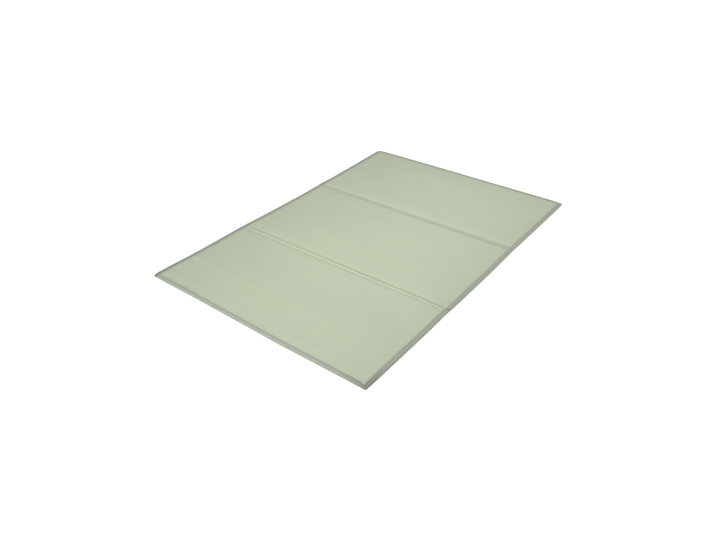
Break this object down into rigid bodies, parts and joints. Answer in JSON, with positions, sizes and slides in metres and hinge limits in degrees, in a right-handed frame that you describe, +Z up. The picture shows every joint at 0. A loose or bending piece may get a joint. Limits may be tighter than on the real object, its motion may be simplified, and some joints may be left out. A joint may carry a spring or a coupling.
{
  "type": "tatami mat",
  "caption": "Thin padded floor mat faced with woven rush, sewn through along folds so that it packs into panels, bound all round with cloth tape and lying open and flat.",
  "frame": {"origin": "on the floor, under the middle of the mat", "axes": "+X along the mat's length, +Y across its width, +Z up"},
  "size_m": [1.9999, 1.3999, 0.016],
  "materials": {
    "woven_rush": "matt woven rush",
    "tape_cloth": "matt woven tape"
  },
  "bodies": {
    "root": {"rush_mat": "woven_rush", "long_tape_front": "tape_cloth", "long_tape_back": "tape_cloth", "end_tape_left": "tape_cloth", "end_tape_right": "tape_cloth"}
  },
  "joints": []
}
